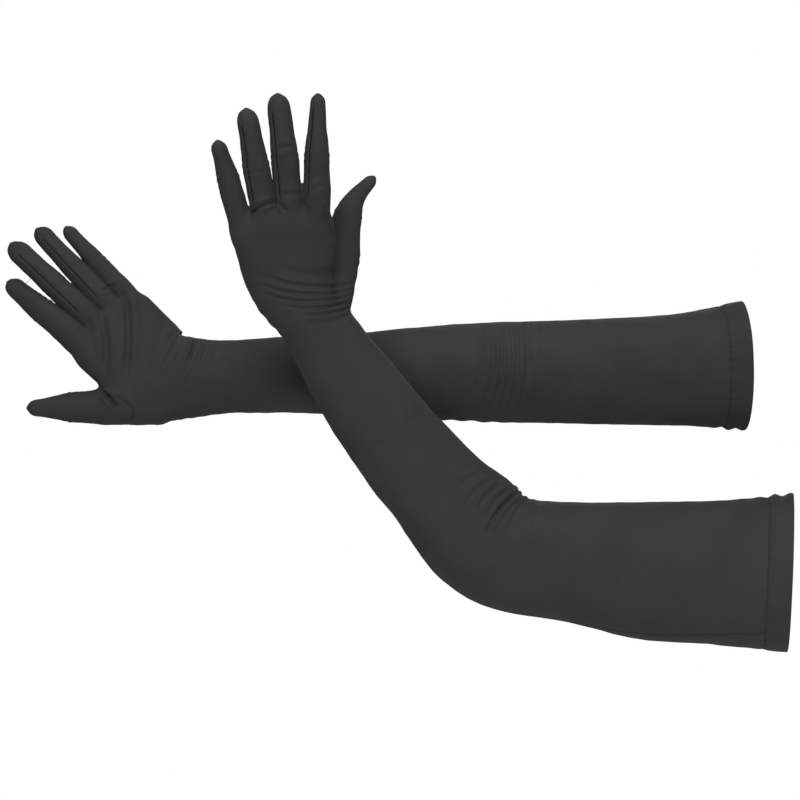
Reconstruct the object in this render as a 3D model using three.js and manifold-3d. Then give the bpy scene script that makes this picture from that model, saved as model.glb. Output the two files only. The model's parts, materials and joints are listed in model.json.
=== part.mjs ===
// A pair of long stretch-knit opera gloves, shaped as worn, with the left arm crossing in front of the
// right. Millimetres, +Z up. The origin is the middle of the right glove's open hem, and -Y is the side
// that the backs of both hands face.
import * as THREE from "three";
import { mergeVertices } from "three/addons/utils/BufferGeometryUtils.js";
import Module from "manifold-3d";

const wasm = await Module();
wasm.setup();

// Cloth, seams and hem
const clothThickness = 1;
const seamGap = 0.3;
const hemDepth = 18;
const stitchWidth = 1;
const stitchHeight = 0.6;
const stitchInset = 2;
const seamTapeWidth = 6;
const seamTapeThickness = 0.8;
const seamTapeGap = 0.6;
const seamTapeMargin = 4;

// Lengths along the arm
const upperLength = 226;
const forearmLength = 228;
const heelLength = 28;
const palmLength = 70;

// How much of the cloth beside each bend belongs to the bend
const elbowReach = 36;
const wristReach = 16;
const knuckleReach = 6;

// Half widths across the back of the arm, and half depths from back to front
const hemWidth = 54;
const hemThickness = 49;
const upperWidth = 45;
const upperThickness = 42;
const elbowWidth = 40;
const elbowThickness = 37;
const forearmWidth = 34;
const forearmThickness = 31;
const wristWidth = 29.5;
const wristThickness = 21;
const heelWidth = 34;
const heelThickness = 18;
const knuckleWidth = 39;
const knuckleThickness = 11.5;
const hemFlareLength = 42;
const forearmSwell = 100;

// Fingers: how far each stands to the thumb side of the palm's middle line, where its web is measured
// from the front of the palm, its length beyond the web, and its radius at the base and the tip
const fingers = [
  { name: "index", across: 26.8, webOffset: 1, length: 75, baseRadius: 9.2, tipRadius: 6.8, strips: [-1] },
  { name: "middle", across: 6.2, webOffset: 1, length: 83, baseRadius: 9.5, tipRadius: 7.4, strips: [-1, 1] },
  { name: "ring", across: -13.5, webOffset: -1, length: 79, baseRadius: 9.1, tipRadius: 7, strips: [-1, 1] },
  { name: "little", across: -31.3, webOffset: -3, length: 67, baseRadius: 8, tipRadius: 5.8, strips: [1] },
];
const fingerDepthRatio = 0.95;
const knuckleOffset = 9;
const tipStretch = 1.25;
const smallestRadius = 0.5;
const fingerRootDepth = 22;
const stripWidth = 5.5;
const stripTipMargin = 12;

// Thumb: where its root starts in the palm, root length, free length and radii
const thumbRootAlong = -17;
const thumbRootAcross = 18;
const thumbRootDepth = 2;
const thumbRootLength = 43;
const thumbLength = 59;
const thumbRootRadius = 15;
const thumbBaseRadius = 11.5;
const thumbTipRadius = 8.2;

// How each glove is held. turn swings a direction up from -X, lean tips it towards -Y, roll turns the
// little finger's side towards +Y, spread fans a finger out in the plane of the palm and curl bends it
// towards the palm, all in degrees. shift moves the palm across to the thumb's side.
const gloves = [
  {
    side: "left",
    thumbSide: 1,
    hem: [11.5, -132, -157],
    upper: { turn: 2.2, lean: -9.5 },
    forearm: { turn: 53.5, lean: 7.8 },
    hand: { turn: 86, lean: 34, roll: 0, shift: 0 },
    seamAngle: { upper: 180, forearm: 180 },
    spread: { index: 7, middle: 1, ring: -1.5, little: -7, thumb: 34 },
    curl: { index: 6, middle: 0, ring: 1, little: -4, thumb: 32 },
  },
  {
    side: "right",
    thumbSide: -1,
    hem: [0, 0, 0],
    upper: { turn: -1.6, lean: 0 },
    forearm: { turn: -1.6, lean: 0 },
    hand: { turn: 44.8, lean: 4, roll: 20, shift: -6 },
    seamAngle: { upper: 90, forearm: 180 },
    spread: { index: 6, middle: 0.5, ring: -1, little: -6, thumb: 43 },
    curl: { index: 18, middle: 8, ring: 3, little: 3, thumb: 5 },
  },
];

// Facets
const sleeveSides = 20;
const handSides = 24;
const fingerSides = 12;
const palmSquareness = 0.8;

const knit = new THREE.MeshStandardMaterial({ color: 0x3a3a3a, roughness: 0.9, metalness: 0 });
const thread = new THREE.MeshStandardMaterial({ color: 0x242424, roughness: 0.75, metalness: 0 });

function direction({ turn, lean }) {
  const up = THREE.MathUtils.degToRad(turn);
  const out = THREE.MathUtils.degToRad(lean);
  return new THREE.Vector3(-Math.cos(up) * Math.cos(out), -Math.sin(out), Math.sin(up) * Math.cos(out));
}

// palmward points out of the palm's side and thumbward across to the thumb, both square to along
function axesAlong(along, thumbSide, roll = 0) {
  const flatPalm = new THREE.Vector3(0, 1, 0).addScaledVector(along, -along.y).normalize();
  const palmward = flatPalm.applyAxisAngle(along, -THREE.MathUtils.degToRad(roll) * thumbSide);
  const thumbward = new THREE.Vector3().crossVectors(palmward, along).multiplyScalar(thumbSide);
  return { along, palmward, thumbward };
}

function stepFrom(point, vector, distance) {
  return point.clone().addScaledVector(vector, distance);
}

function placeIn(axes, origin, along, across, depth) {
  const point = stepFrom(origin, axes.along, along);
  point.addScaledVector(axes.thumbward, across);
  return point.addScaledVector(axes.palmward, depth);
}

// An elliptical ring of points about a station, squared towards a rounded box where squareness is below 1
function ringAt(station, halfWidth, halfDepth, sides, squareness = 1) {
  const points = [];
  for (let i = 0; i < sides; i += 1) {
    const angle = (i / sides) * 2 * Math.PI;
    const across = Math.sign(Math.cos(angle)) * Math.abs(Math.cos(angle)) ** squareness * halfWidth;
    const depth = Math.sign(Math.sin(angle)) * Math.abs(Math.sin(angle)) ** squareness * halfDepth;
    points.push(placeIn(station.axes, station.centre, 0, across, depth));
  }
  return points;
}

function signedVolume(points, triangles) {
  let volume = 0;
  for (let i = 0; i < triangles.length; i += 3) {
    const [a, b, c] = [points[triangles[i]], points[triangles[i + 1]], points[triangles[i + 2]]];
    volume += a.dot(new THREE.Vector3().crossVectors(b, c));
  }
  return volume;
}

function solidOf(points, triangles) {
  const facingIn = signedVolume(points, triangles) < 0;
  const index = [...triangles];
  if (facingIn) {
    index.reverse();
  }
  const geometry = new THREE.BufferGeometry().setFromPoints(points);
  geometry.setIndex(index);
  return geometry;
}

// Joins rings of equally many points into a closed surface. A looped one comes back to its first ring;
// any other is closed by a fan of triangles at each end.
function loft(rings, looped) {
  const sides = rings[0].length;
  const points = rings.flat();
  const triangles = [];
  const bands = looped ? rings.length : rings.length - 1;
  for (let r = 0; r < bands; r += 1) {
    const here = r * sides;
    const next = ((r + 1) % rings.length) * sides;
    for (let i = 0; i < sides; i += 1) {
      const j = (i + 1) % sides;
      triangles.push(here + i, here + j, next + j, here + i, next + j, next + i);
    }
  }
  if (!looped) {
    addFan(points, triangles, 0, sides, false);
    addFan(points, triangles, (rings.length - 1) * sides, sides, true);
  }
  return solidOf(points, triangles);
}

function addFan(points, triangles, first, sides, forwards) {
  const middle = new THREE.Vector3();
  for (let i = 0; i < sides; i += 1) {
    middle.addScaledVector(points[first + i], 1 / sides);
  }
  points.push(middle);
  const hub = points.length - 1;
  for (let i = 0; i < sides; i += 1) {
    const j = (i + 1) % sides;
    const [from, to] = forwards ? [i, j] : [j, i];
    triangles.push(first + from, first + to, hub);
  }
}

function toManifold(geometry) {
  const bare = new THREE.BufferGeometry();
  bare.setAttribute("position", geometry.getAttribute("position").clone());
  bare.setIndex(geometry.getIndex());
  const merged = mergeVertices(bare, 1e-5);
  const vertProperties = new Float32Array(merged.getAttribute("position").array);
  const triVerts = new Uint32Array(merged.getIndex().array);
  return new wasm.Manifold(new wasm.Mesh({ numProp: 3, vertProperties, triVerts }));
}

function toGeometry(manifold) {
  const mesh = manifold.getMesh();
  const geometry = new THREE.BufferGeometry();
  geometry.setAttribute("position", new THREE.BufferAttribute(mesh.vertProperties, 3));
  geometry.setIndex(new THREE.BufferAttribute(mesh.triVerts, 1));
  return geometry;
}

function joined(geometries) {
  return geometries.map(toManifold).reduce((all, next) => all.add(next));
}

// A box with its length along the station, centred on the given place in the station's axes
function boxAt(axes, centre, length, acrossSize, depthSize) {
  const box = new THREE.BoxGeometry(length, depthSize, acrossSize);
  const sideways = new THREE.Vector3().crossVectors(axes.along, axes.palmward);
  const matrix = new THREE.Matrix4().makeBasis(axes.along, axes.palmward, sideways);
  box.applyMatrix4(matrix.setPosition(centre));
  return box;
}

// By the end of its flare the hem has narrowed to a third of the way out from the upper arm
function flared(armGirth, hemGirth) {
  return THREE.MathUtils.lerp(armGirth, hemGirth, 1 / 3);
}

// Half width and half depth at a distance along the arm, straight between the named girths
const wristAt = upperLength + forearmLength;
const bendAt = wristAt + heelLength;
const elbowStart = upperLength - elbowReach;
const elbowEnd = upperLength + elbowReach;
const wristStart = wristAt - wristReach;
const wristEnd = wristAt + wristReach;
const frontAt = bendAt + palmLength + Math.min(...fingers.map((finger) => finger.webOffset));
const girths = [
  { at: 0, width: hemWidth, thickness: hemThickness },
  { at: hemFlareLength, width: flared(upperWidth, hemWidth), thickness: flared(upperThickness, hemThickness) },
  { at: upperLength / 2, width: upperWidth, thickness: upperThickness },
  { at: upperLength, width: elbowWidth, thickness: elbowThickness },
  { at: upperLength + forearmSwell, width: forearmWidth, thickness: forearmThickness },
  { at: wristStart, width: wristWidth, thickness: wristThickness },
  { at: wristAt, width: wristWidth, thickness: wristThickness },
  { at: bendAt, width: heelWidth, thickness: heelThickness },
  { at: frontAt, width: knuckleWidth, thickness: knuckleThickness },
];

function girthAt(distance) {
  const found = girths.findIndex((girth) => girth.at >= distance);
  const next = Math.max(found < 0 ? girths.length - 1 : found, 1);
  const [before, after] = [girths[next - 1], girths[next]];
  const share = (distance - before.at) / (after.at - before.at);
  const width = THREE.MathUtils.lerp(before.width, after.width, share);
  return { width, thickness: THREE.MathUtils.lerp(before.thickness, after.thickness, share) };
}

// The glove's middle line: straight upper sleeve, forearm and palm, with a curve at the elbow and one
// at the heel of the hand
function skeletonOf(glove) {
  const upperAlong = direction(glove.upper);
  const forearmAlong = direction(glove.forearm);
  const handAlong = direction(glove.hand);
  const hem = new THREE.Vector3(...glove.hem);
  const elbow = stepFrom(hem, upperAlong, upperLength);
  const wrist = stepFrom(elbow, forearmAlong, forearmLength);
  const heel = stepFrom(wrist, forearmAlong, heelLength);
  const handAxes = axesAlong(handAlong, glove.thumbSide, glove.hand.roll);
  const bend = stepFrom(heel, handAxes.thumbward, glove.hand.shift);
  return { hem, elbow, wrist, heel, bend, upperAlong, forearmAlong, handAlong, handAxes };
}

const heelReach = heelLength - wristReach;

function stationAt(glove, distance) {
  const bones = skeletonOf(glove);
  const fromElbow = distance - upperLength;
  const fromBend = distance - bendAt;
  if (Math.abs(fromElbow) < elbowReach) {
    return elbowStation(glove, bones, fromElbow);
  }
  if (Math.abs(fromBend) < heelReach) {
    return heelStation(glove, bones, fromBend);
  }
  if (fromElbow < 0) {
    return straightStation(glove, bones.hem, bones.upperAlong, distance);
  }
  if (fromBend < 0) {
    return straightStation(glove, bones.elbow, bones.forearmAlong, fromElbow);
  }
  return straightStation(glove, bones.bend, bones.handAlong, fromBend, glove.hand.roll);
}

function straightStation(glove, start, along, distance, roll = 0) {
  return { centre: stepFrom(start, along, distance), axes: axesAlong(along, glove.thumbSide, roll) };
}

function elbowStation(glove, bones, fromElbow) {
  const start = stepFrom(bones.elbow, bones.upperAlong, -elbowReach);
  const end = stepFrom(bones.elbow, bones.forearmAlong, elbowReach);
  return curveStation(glove, [start, bones.elbow, end], (fromElbow + elbowReach) / (2 * elbowReach), 0);
}

function heelStation(glove, bones, fromBend) {
  const start = stepFrom(bones.heel, bones.forearmAlong, -heelReach);
  const corner = bones.heel.clone().lerp(bones.bend, 0.5);
  const end = stepFrom(bones.bend, bones.handAlong, heelReach);
  const share = (fromBend + heelReach) / (2 * heelReach);
  return curveStation(glove, [start, corner, end], share, glove.hand.roll);
}

function curveStation(glove, [start, corner, end], share, endRoll) {
  const curve = new THREE.QuadraticBezierCurve3(start, corner, end);
  const axes = axesAlong(curve.getTangent(share), glove.thumbSide, endRoll * share);
  return { centre: curve.getPoint(share), axes };
}

function spaced(from, to, count) {
  return Array.from({ length: count }, (_, i) => from + ((to - from) * i) / (count - 1));
}

function sleeveRing(glove, distance, outset, sides, squareness) {
  const { width, thickness } = girthAt(distance);
  return ringAt(stationAt(glove, distance), width + outset, thickness + outset, sides, squareness);
}

// A band of cloth all round the arm, as thick as thickness, its outside standing outset off the skin line
function sleeveBand(glove, distances, outset, thickness) {
  const outer = distances.map((distance) => sleeveRing(glove, distance, outset, sleeveSides));
  const inner = distances.map((distance) => sleeveRing(glove, distance, outset - thickness, sleeveSides));
  return loft([...outer, ...inner.reverse()], true);
}

// The seam allowance inside the sleeve: a narrow tape following the wall at one angle round it. The flat
// facets of the wall cut inside its true curve, and the tape lies inside them.
function seamTape(glove, distances, angle) {
  const turn = THREE.MathUtils.degToRad(angle);
  const rings = distances.map((distance) => {
    const station = stationAt(glove, distance);
    const { width, thickness } = girthAt(distance);
    const facetInset = width * (1 - Math.cos(Math.PI / sleeveSides));
    const top = -clothThickness - seamTapeGap - facetInset;
    const bottom = top - seamTapeThickness;
    const half = seamTapeWidth / (width + thickness);
    return [[-half, top], [half, top], [half, bottom], [-half, bottom]].map(([offset, outset]) => {
      const across = Math.cos(turn + offset) * (width + outset);
      const depth = Math.sin(turn + offset) * (thickness + outset);
      return placeIn(station.axes, station.centre, 0, across, depth);
    });
  });
  return loft(rings, false);
}

function blended(from, to, degrees) {
  const angle = THREE.MathUtils.degToRad(degrees);
  return from.clone().multiplyScalar(Math.cos(angle)).addScaledVector(to, Math.sin(angle));
}

// A finger's own axes: the hand's, fanned by spread and bent to the palm by curl
function fingerAxes(glove, spread, curl) {
  const hand = skeletonOf(glove).handAxes;
  const fanned = blended(hand.along, hand.thumbward, spread);
  const along = blended(fanned, hand.palmward, curl);
  const palmward = blended(hand.palmward, fanned, -curl);
  const thumbward = new THREE.Vector3().crossVectors(palmward, along).multiplyScalar(glove.thumbSide);
  return { along, palmward, thumbward };
}

// Where a digit's hinge is, which way it points, and its radius at a distance from the hinge
function fingerLayout(glove, finger) {
  const bones = skeletonOf(glove);
  const web = palmLength + finger.webOffset;
  return {
    name: finger.name,
    hinge: placeIn(bones.handAxes, bones.bend, web + knuckleOffset, finger.across, 0),
    axes: fingerAxes(glove, glove.spread[finger.name], glove.curl[finger.name]),
    handAxes: fingerAxes(glove, glove.spread[finger.name], 0),
    free: finger.length - knuckleOffset,
    root: knuckleOffset + fingerRootDepth,
    rootRadius: finger.baseRadius,
    baseRadius: finger.baseRadius,
    tipRadius: finger.tipRadius,
    strips: finger.strips,
  };
}

function thumbLayout(glove) {
  const bones = skeletonOf(glove);
  const axes = fingerAxes(glove, glove.spread.thumb, glove.curl.thumb);
  const start = placeIn(bones.handAxes, bones.bend, thumbRootAlong, thumbRootAcross, thumbRootDepth);
  return {
    name: "thumb",
    hinge: stepFrom(start, axes.along, thumbRootLength),
    axes,
    handAxes: axes,
    free: thumbLength,
    root: thumbRootLength,
    rootRadius: thumbRootRadius,
    baseRadius: thumbBaseRadius,
    tipRadius: thumbTipRadius,
    strips: [],
  };
}

function digitRing(digit, axes, distance, radius) {
  const station = { centre: stepFrom(digit.hinge, axes.along, distance), axes };
  return ringAt(station, radius, radius * fingerDepthRatio, fingerSides);
}

// The free part of a digit, from just past its knuckle to a domed tip, as rings standing outset off it
function freeRings(digit, outset) {
  const dome = digit.tipRadius * tipStretch;
  const straightEnd = digit.free - dome;
  const straight = spaced(knuckleReach, straightEnd, 4).map((distance) => {
    const share = (distance - knuckleReach) / (digit.free - knuckleReach);
    return [distance, THREE.MathUtils.lerp(digit.baseRadius, digit.tipRadius, share)];
  });
  const shoulder = straight[straight.length - 1][1];
  const domed = [30, 55, 76].map((degrees) => {
    const angle = THREE.MathUtils.degToRad(degrees);
    return [straightEnd + Math.sin(angle) * dome, Math.cos(angle) * shoulder];
  });
  return [...straight, ...domed].map(([distance, radius], i) => {
    const moved = i < straight.length ? distance : distance + outset;
    return digitRing(digit, digit.axes, moved, Math.max(radius + outset, smallestRadius));
  });
}

function digitShell(digit) {
  const inner = freeRings(digit, -clothThickness);
  return loft([...inner.reverse(), ...freeRings(digit, 0)], false);
}

// The strip between two fingers runs up this digit's side; the shell is slotted to take it
function stripBox(digit, side, clearance) {
  const end = digit.free - stripTipMargin + clearance;
  const centre = placeIn(digit.axes, digit.hinge, end / 2, side * digit.baseRadius, 0);
  const reach = digit.baseRadius + clearance;
  return boxAt(digit.axes, centre, end, reach, stripWidth + 2 * clearance);
}

function knuckleBand(digit) {
  const half = knuckleReach - seamGap;
  const rings = (outset) => spaced(-half, half, 3).map((distance) => {
    const axes = distance < 0 ? digit.handAxes : digit.axes;
    return digitRing(digit, axes, distance, digit.baseRadius + outset);
  });
  return loft([...rings(0), ...rings(-clothThickness).reverse()], true);
}

// The part of a digit that the palm piece carries, down to short of the knuckle
function digitRoot(digit, outset, extra) {
  const start = digitRing(digit, digit.handAxes, -digit.root, digit.rootRadius + outset);
  const end = digitRing(digit, digit.handAxes, -knuckleReach + extra, digit.baseRadius + outset);
  return loft([start, end], false);
}

function palmBody(glove, outset, extra) {
  const distances = [wristEnd - extra, bendAt, ...spaced(bendAt + heelReach, frontAt + outset, 5)];
  const rings = distances.map((distance) => {
    const share = THREE.MathUtils.clamp((distance - bendAt) / (frontAt - bendAt), 0, 1);
    return sleeveRing(glove, distance, outset, handSides, THREE.MathUtils.lerp(1, palmSquareness, share));
  });
  return loft(rings, false);
}

// Everything starts a little before the wrist and is then cut square, so no two end faces coincide
function handShell(glove, digits) {
  const beyond = 2;
  const outer = joined([palmBody(glove, 0, beyond), ...digits.map((digit) => digitRoot(digit, 0, 0))]);
  const inner = joined([
    palmBody(glove, -clothThickness, 2 * beyond),
    ...digits.map((digit) => digitRoot(digit, -clothThickness, beyond)),
  ]);
  const bones = skeletonOf(glove);
  const axes = axesAlong(bones.forearmAlong, glove.thumbSide);
  const wristSide = stepFrom(bones.wrist, axes.along, wristReach - forearmLength / 2);
  const cut = boxAt(axes, wristSide, forearmLength, forearmLength, forearmLength);
  return toGeometry(outer.subtract(inner).subtract(toManifold(cut)));
}

function addPart(group, name, geometry, material) {
  const mesh = new THREE.Mesh(geometry, material);
  mesh.name = name;
  group.add(mesh);
}

function addHem(group, glove) {
  const halfCloth = clothThickness / 2;
  const band = sleeveBand(glove, spaced(0, hemDepth, 3), halfCloth, 2 * clothThickness);
  addPart(group, `${glove.side}_hem_band`, band, knit);
  const stitches = [hemDepth - stitchInset - stitchWidth, hemDepth - stitchInset];
  const stitchLine = sleeveBand(glove, stitches, halfCloth + seamGap + stitchHeight, stitchHeight);
  addPart(group, `${glove.side}_hem_stitching`, stitchLine, thread);
}

// Each stretch of sleeve: its name, where it starts and ends, and how many rings shape it
function addSleeve(group, glove) {
  const stretches = [
    ["upper_sleeve", hemDepth + seamGap, elbowStart, 5],
    ["elbow_section", elbowStart + seamGap, elbowEnd - seamGap, 7],
    ["forearm_sleeve", elbowEnd, wristStart, 6],
    ["wrist_section", wristStart + seamGap, wristEnd - seamGap, 4],
  ];
  for (const [name, from, to, count] of stretches) {
    const band = sleeveBand(glove, spaced(from, to, count), 0, clothThickness);
    addPart(group, `${glove.side}_${name}`, band, knit);
  }
}

function addSideSeams(group, glove) {
  const upper = spaced(hemDepth + seamTapeMargin, elbowStart - seamTapeMargin, 4);
  const forearm = spaced(elbowEnd + seamTapeMargin, wristStart - seamTapeMargin, 4);
  addPart(group, `${glove.side}_upper_side_seam`, seamTape(glove, upper, glove.seamAngle.upper), thread);
  addPart(group, `${glove.side}_forearm_side_seam`, seamTape(glove, forearm, glove.seamAngle.forearm), thread);
}

// A digit stands clear of the palm, however short its root is
function clearOfPalm(glove, geometry) {
  return toManifold(geometry).subtract(toManifold(palmBody(glove, seamGap, 0)));
}

function addDigit(group, glove, digit) {
  const full = clearOfPalm(glove, digitShell(digit));
  let shell = full;
  for (const side of digit.strips) {
    const facing = side * glove.thumbSide > 0 ? "right" : "left";
    shell = shell.subtract(toManifold(stripBox(digit, side, seamGap)));
    const strip = full.intersect(toManifold(stripBox(digit, side, 0)));
    addPart(group, `${glove.side}_${digit.name}_${facing}_side_strip`, toGeometry(strip), knit);
  }
  addPart(group, `${glove.side}_${digit.name}`, toGeometry(shell), knit);
  const knuckle = toGeometry(clearOfPalm(glove, knuckleBand(digit)));
  addPart(group, `${glove.side}_${digit.name}_knuckle`, knuckle, knit);
}

function buildGlove(glove) {
  const group = new THREE.Group();
  const digits = [...fingers.map((finger) => fingerLayout(glove, finger)), thumbLayout(glove)];
  addHem(group, glove);
  addSleeve(group, glove);
  addSideSeams(group, glove);
  addPart(group, `${glove.side}_hand`, handShell(glove, digits), knit);
  digits.forEach((digit) => addDigit(group, glove, digit));
  return group;
}

const pair = new THREE.Group();
gloves.forEach((glove) => pair.add(buildGlove(glove)));

export default pair;
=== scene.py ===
# The looks of a pair of long stretch-knit opera gloves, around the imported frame.
# Shapes are worked out in millimetres, in the frame's axes, and put into meshes in metres.
import json
import math

import bpy
import numpy as np
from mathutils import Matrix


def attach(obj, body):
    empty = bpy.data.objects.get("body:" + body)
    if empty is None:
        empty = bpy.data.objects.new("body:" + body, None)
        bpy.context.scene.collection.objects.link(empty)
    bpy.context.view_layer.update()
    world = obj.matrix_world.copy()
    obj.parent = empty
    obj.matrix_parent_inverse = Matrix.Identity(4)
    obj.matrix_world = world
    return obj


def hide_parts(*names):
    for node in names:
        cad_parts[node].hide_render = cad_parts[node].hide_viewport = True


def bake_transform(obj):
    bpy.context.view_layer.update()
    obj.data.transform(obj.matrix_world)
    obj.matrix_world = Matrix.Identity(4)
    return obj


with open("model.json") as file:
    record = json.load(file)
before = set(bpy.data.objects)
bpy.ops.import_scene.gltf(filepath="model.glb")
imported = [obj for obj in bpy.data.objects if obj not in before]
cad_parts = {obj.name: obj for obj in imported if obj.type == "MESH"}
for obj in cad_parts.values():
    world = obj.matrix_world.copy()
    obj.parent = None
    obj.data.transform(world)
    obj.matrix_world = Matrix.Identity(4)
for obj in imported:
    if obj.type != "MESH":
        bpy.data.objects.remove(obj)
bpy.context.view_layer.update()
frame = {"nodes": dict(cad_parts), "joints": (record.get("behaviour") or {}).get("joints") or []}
jointAt = {joint["name"]: joint for joint in frame["joints"]}
print("frame loaded:", len(frame["nodes"]), "nodes")

# Lengths along a glove's middle line, from the open hem
arm = {
    "hemDepth": 18,
    "elbow": 226,
    "wrist": 454,
    "heel": 482,
    "front": 549,
    "elbowReach": 36,
    "heelReach": 20,
    "wristReach": 18,
    "sleeveEnd": 350,  # where the sleeve piece hands over to the hand piece
    "seamEnd": 508,
    "seamFades": (500, 530),
    "rollStarts": (445, 500),
    "cloth": 0.9,
}

# turn swings a direction up from -X, lean tips it towards -Y. Each outline entry is a place along the
# middle line, the half width on the thumb's side, on the little finger's side, and the half depth.
gloves = {
    "left": {
        "thumbSide": 1,
        "hem": (11.5, -132, -157),
        "upper": (2.2, -9.5),
        "forearm": (53.5, 7.8),
        "hand": (86, 34),
        "roll": 0,
        "shift": 0,
        "seamTurn": [(0, -137), (226, -171), (350, -180), (500, -184)],
        "outline": [
            (0, 57, 61, 49), (42, 50.5, 59, 45),
            (113, 45.5, 57.5, 42.5), (180, 43, 46, 40),
            (222, 45, 44.5, 37.5), (246, 47, 43.5, 36.5),
            (264, 45.5, 42, 35.5), (284, 39, 41, 34.5),
            (326, 32, 41.5, 31), (390, 27, 37.5, 26),
            (438, 25, 30, 21.5), (454, 25, 27.5, 20.5),
            (482, 32, 32, 18), (516, 37, 37, 14.5),
            (540, 37.5, 40, 11), (549, 37.5, 40.5, 9.6),
        ],
    },
    "right": {
        "thumbSide": -1,
        "hem": (0, 0, 0),
        "upper": (-1.6, 0),
        "forearm": (-1.6, 0),
        "hand": (44.8, 4),
        "roll": 20,
        "shift": -6,
        "seamTurn": [(0, 150), (226, 160), (350, 168), (500, 172)],
        "outline": [
            (0, 54, 50.5, 49), (42, 50.5, 43, 45),
            (113, 47, 39.5, 42), (226, 41, 38.5, 37.5),
            (326, 33, 33, 31), (390, 30, 31.5, 26),
            (438, 30.5, 31.5, 21.5), (454, 33, 35, 20.5),
            (482, 36, 40.5, 18), (516, 40, 41, 14.5),
            (540, 40.5, 40.5, 11), (549, 40.5, 40, 9.6),
        ],
    },
}

# Radius at the base and the tip, length past the hinge, and the direction, fanned by spread and bent to
# the palm by curl. shift moves it to the thumb's side and sweep bends its outer half that way. seams are
# places round it, in degrees from the thumb's side.
digits = {
    "left": {
        "index": {"radii": (10.4, 5.6), "length": 71, "spread": 5.6, "curl": 6, "seams": (-128, 130)},
        "middle": {"radii": (10.6, 8.2), "length": 76.5, "spread": -0.5, "curl": 0, "seams": (-125, 130)},
        "ring": {"radii": (10.2, 7.9), "length": 68, "spread": -3.6, "curl": 1, "seams": (-125, 130)},
        "little": {"radii": (8.8, 6.2), "length": 50, "spread": -8, "curl": -4, "shift": -2.3},
        "thumb": {
            "radii": (13.8, 5),
            "length": 62,
            "spread": 13,
            "curl": 30,
            "shift": 2.8,
            "sweep": 40,
            "root": 36,
            "rootRadius": 12,
            "rootCurl": 36,
        },
    },
    "right": {
        "index": {"radii": (11.6, 8.6), "length": 63, "spread": 0.6, "curl": 18, "seams": (-170, 130)},
        "middle": {"radii": (10.8, 9.4), "length": 81, "spread": -1.1, "curl": 8, "seams": (-62, 130)},
        "ring": {"radii": (10.2, 8.2), "length": 76, "spread": -3, "curl": 3, "seams": (-62, 130)},
        "little": {"radii": (9.3, 6.2), "length": 64, "spread": -4.3, "curl": 3, "shift": 0.7},
        "thumb": {
            "radii": (15.2, 7.2),
            "length": 61,
            "spread": 46,
            "curl": 5,
            "shift": 3,
            "root": 43,
            "rootRadius": 15.5,
        },
    },
}

hand = {
    "voxel": 1.05,
    "slimmer": 0.7,  # how much thinner the rough tubes are, so that fingers that touch stay apart
    "fingerRoot": 31,
    "depthRatio": 0.95,
    "tipStretch": 1.3,
    "palmDome": 17,
    "squareness": 0.6,  # how far the palm's section goes from an ellipse towards a rectangle
    "webBlend": 4,
    "thumbBlend": (7, 22),  # round the web, and at the root on the back of the hand
    "digitStart": -9.5,  # how far before its hinge a digit's own piece starts
    "fingerJoint": 0.36,  # where the middle joint lies, as a share of the length
    "thumbJoint": 0.45,
    "palmOverlap": 14,  # how far the palm's tube reaches back under the sleeve piece
    "backLift": 16,  # how far behind the hand a line starts, before it is laid onto the skin
    "bendReach": 10,
    "underlap": 5,  # how many rows of faces the hand reaches in under each digit
    "tuck": 0.3,  # how much deeper each of those rows lies
}


def unit(v):
    return v / np.linalg.norm(v, axis=-1, keepdims=True)


def dot(a, b):
    return (a * b).sum(-1)


def heading(turn, lean):
    # The direction that is turned up from -X and leans towards -Y, in degrees
    up, out = math.radians(turn), math.radians(lean)
    return np.array([-math.cos(up) * math.cos(out), -math.sin(out), math.sin(up) * math.cos(out)])


def swung(a, b, degrees):
    # a turned towards b by an angle
    angle = np.radians(degrees)
    return a * np.cos(angle) + b * np.sin(angle)


def ease(x, start, end):
    t = np.clip((x - start) / (end - start), 0, 1)
    return t * t * (3 - 2 * t)


def bump(x, width):
    # A bell of height 1: e to the power of minus the square of x over width
    return np.exp(-((x / width) ** 2))


def smoothThrough(places, values, x):
    # Cubic pieces through the values, with the slope at each taken from its neighbours
    places, values = np.asarray(places, float), np.asarray(values, float)
    slopes = np.gradient(values, places)
    i = np.clip(np.searchsorted(places, x) - 1, 0, len(places) - 2)
    gap = places[i + 1] - places[i]
    t = np.clip((x - places[i]) / gap, 0, 1)
    rise = values[i] * (1 + 2 * t) * (1 - t) ** 2 + values[i + 1] * t * t * (3 - 2 * t)
    return rise + gap * (slopes[i] * t * (1 - t) ** 2 - slopes[i + 1] * t * t * (1 - t))


def axesFor(along, thumbSide, roll):
    # palm is +Y made square to along and rolled about it, thumb lies across both
    palm = unit(np.array([0.0, 1.0, 0.0]) - along * along[..., 1:2])
    angle = np.radians(-np.asarray(roll, float) * thumbSide)[..., None]
    palm = palm * np.cos(angle) + np.cross(along, palm) * np.sin(angle)
    return palm, np.cross(palm, along) * thumbSide


def bezier(t, a, b, c):
    # Point and direction on the curve from a to c, drawn towards b
    t = np.clip(t, 0, 1)[:, None]
    point = a * (1 - t) ** 2 + b * 2 * t * (1 - t) + c * t * t
    return point, unit((b - a) * (1 - t) + (c - b) * t)


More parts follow.
